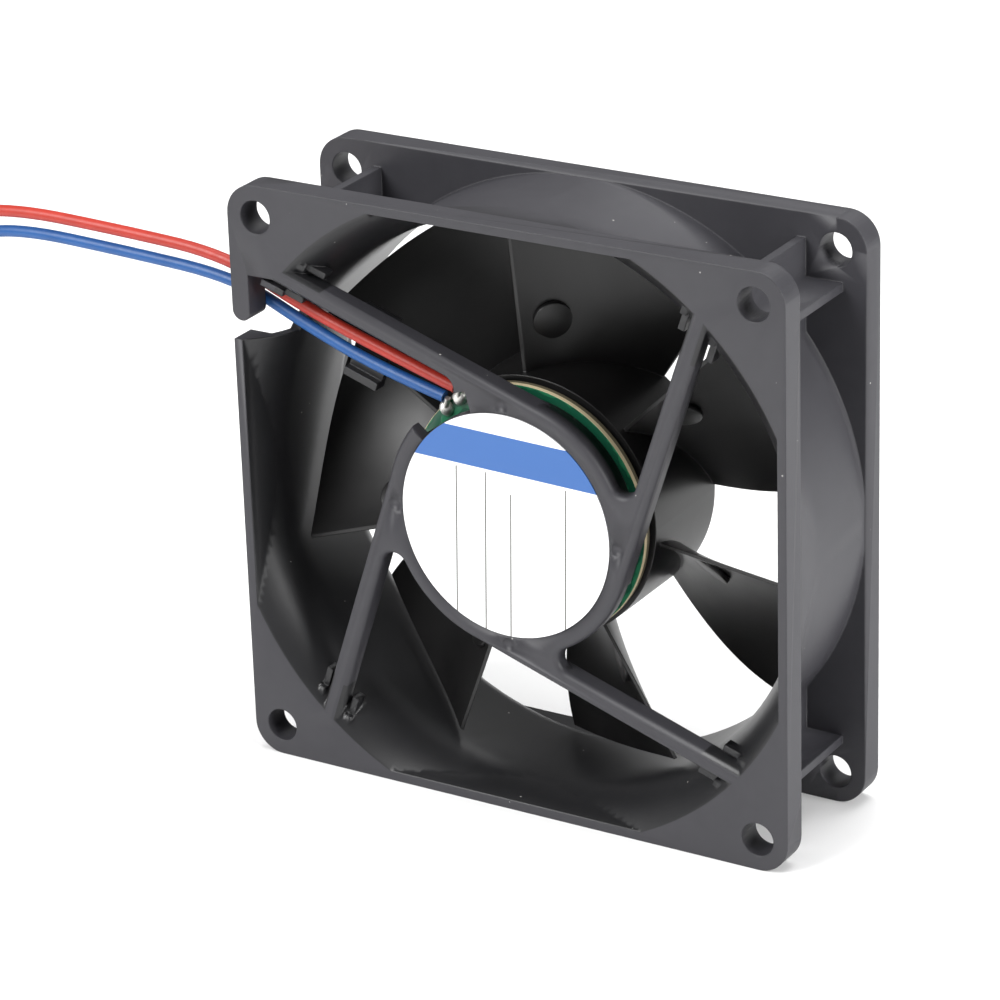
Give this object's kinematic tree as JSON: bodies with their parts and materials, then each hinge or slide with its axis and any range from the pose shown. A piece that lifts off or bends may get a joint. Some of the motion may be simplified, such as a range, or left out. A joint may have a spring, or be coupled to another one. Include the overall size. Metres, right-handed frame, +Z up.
{
  "type": "axial cooling fan",
  "caption": "Compact square axial cooling fan with a brushless hub motor, tangential struts and two free leads.",
  "frame": {"origin": "on the rotor's axis, halfway between the two flange faces: the centre of the housing", "axes": "the rotor turns about Y; -Y is the strut side, where the air leaves; +Z is up; +X is right as seen from the strut side"},
  "size_m": [0.171, 0.0254, 0.08],
  "materials": {
    "black_plastic": "satin moulded glass-filled plastic",
    "rotor_plastic": "satin moulded plastic",
    "label_film": "white printed film with a blue band",
    "board": "green solder mask over glass epoxy",
    "brass": "turned",
    "sintered": "sintered, oil filled",
    "steel": "ground",
    "lamination": "stacked electrical steel",
    "yoke_steel": "drawn and plated",
    "magnet": "ferrite-filled ring",
    "former": "natural nylon",
    "copper": "enamelled copper wire",
    "tin": "tinned",
    "chip": "moulded epoxy",
    "can": "satin",
    "resistor": "glazed",
    "polymer": "wear-resistant polymer",
    "red_pvc": "satin insulation",
    "blue_pvc": "satin insulation"
  },
  "bodies": {
    "stator": {"housing": "black_plastic", "label": "label_film", "bearing_tube": "brass", "sleeve_bearing": "sintered", "thrust_pad": "polymer", "oil_washer": "polymer", "circuit_board": "board", "hall_sensor": "chip", "driver_chip": "chip", "chip_legs": "tin", "capacitor": "can", "chip_resistors": "resistor", "diode": "chip", "solder_joints": "tin", "lead_strands": "tin", "winding_pins": "tin", "stator_core": "lamination", "insulator_front": "former", "insulator_rear": "former", "stator_coils": "copper", "red_lead": "red_pvc", "blue_lead": "blue_pvc", "lead_coil": "red_pvc"},
    "rotor": {"impeller": "rotor_plastic", "rotor_yoke": "yoke_steel", "magnet_ring": "magnet", "shaft": "steel", "shaft_bush": "brass", "retaining_ring": "polymer", "thrust_washer": "polymer"}
  },
  "joints": [
    {"name": "rotor_spin", "type": "hinge", "parent": "stator", "child": "rotor", "pos_m": [0, 0, 0], "axis": [0, 1, 0], "continuous": true}
  ]
}
